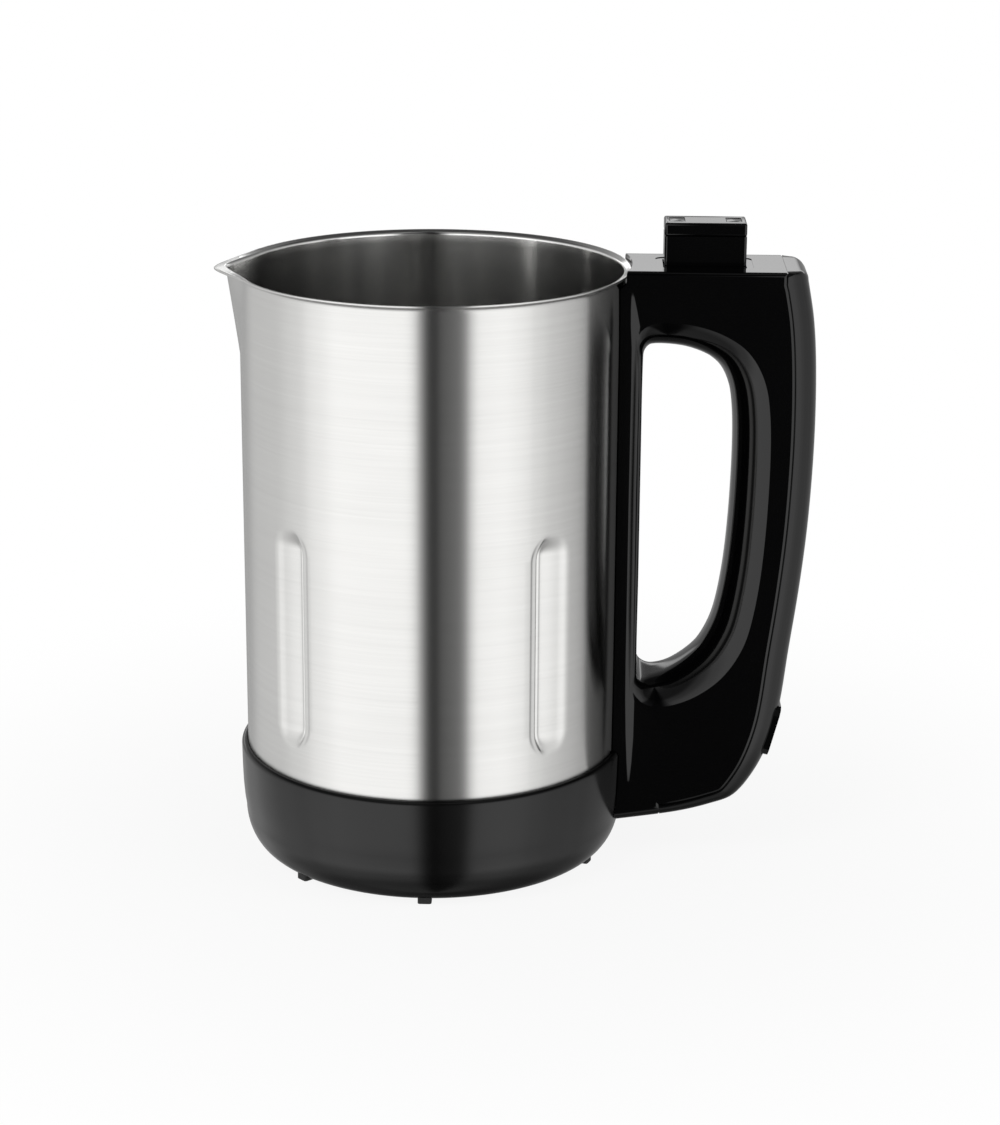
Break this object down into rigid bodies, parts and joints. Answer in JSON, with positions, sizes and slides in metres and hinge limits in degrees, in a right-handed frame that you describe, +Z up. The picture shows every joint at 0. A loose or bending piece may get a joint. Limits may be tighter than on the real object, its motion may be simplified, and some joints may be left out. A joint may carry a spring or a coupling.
{
  "type": "heated blender jug",
  "caption": "Heated steel jug with a pouring spout, on a black base with feet, and a hollow loop handle that carries a plug-in coupler and a mains inlet.",
  "frame": {"origin": "centre of the bounding box, at the level that the feet stand on", "axes": "+Z up, +X from the jug to its handle, the spout at -X, the part is symmetric about the XZ plane"},
  "size_m": [0.216, 0.1428, 0.237],
  "materials": {
    "jug_steel": "stainless, brushed round the wall, satin",
    "handle_black": "moulded, high gloss",
    "base_black": "moulded, gloss",
    "feet_rubber": "matt",
    "seal_rubber": "matt",
    "zinc_steel": "zinc plated",
    "heater_aluminium": "cast and machined",
    "element_sheath": "heat darkened",
    "contact_brass": "bright",
    "tinned_pins": "tinned",
    "insulator_grey": "moulded, matt",
    "fuse_sleeve": "matt sleeve",
    "lead_white": "insulation",
    "lead_blue": "insulation",
    "lead_green": "insulation",
    "lead_red": "insulation"
  },
  "bodies": {
    "root": {"jug": "jug_steel", "handle_body": "handle_black", "handle_cover": "handle_black", "coupler_body": "handle_black", "coupler_cap": "handle_black", "inlet_socket": "handle_black", "base_housing": "base_black", "foot_1": "feet_rubber", "foot_2": "feet_rubber", "foot_3": "feet_rubber", "foot_4": "feet_rubber", "foot_5": "feet_rubber", "foot_6": "feet_rubber", "base_gasket": "seal_rubber", "base_screw_1": "zinc_steel", "base_screw_2": "zinc_steel", "base_screw_3": "zinc_steel", "standoff_1": "zinc_steel", "standoff_2": "zinc_steel", "standoff_3": "zinc_steel", "handle_bracket_lower": "zinc_steel", "handle_bracket_upper": "zinc_steel", "handle_screw_lower": "zinc_steel", "handle_screw_upper": "zinc_steel", "coupler_screw_1": "zinc_steel", "coupler_screw_2": "zinc_steel", "inlet_screw_1": "zinc_steel", "inlet_screw_2": "zinc_steel", "fuse_clip": "zinc_steel", "sensor_holder": "zinc_steel", "heater_plate": "heater_aluminium", "heating_element": "element_sheath", "contact_1": "contact_brass", "contact_2": "contact_brass", "contact_3": "contact_brass", "contact_4": "contact_brass", "contact_5": "contact_brass", "contact_6": "contact_brass", "temperature_sensor": "contact_brass", "inlet_pin_line": "tinned_pins", "inlet_pin_neutral": "tinned_pins", "inlet_pin_earth": "tinned_pins", "element_terminal_line": "tinned_pins", "element_terminal_neutral": "tinned_pins", "contact_carrier": "insulator_grey", "thermostat": "insulator_grey", "thermal_fuse": "fuse_sleeve", "lead_line": "lead_white", "lead_sensor": "lead_white", "lead_neutral": "lead_blue", "lead_earth": "lead_green", "lead_heater_line": "lead_red", "lead_heater_neutral": "lead_red"}
  },
  "joints": []
}
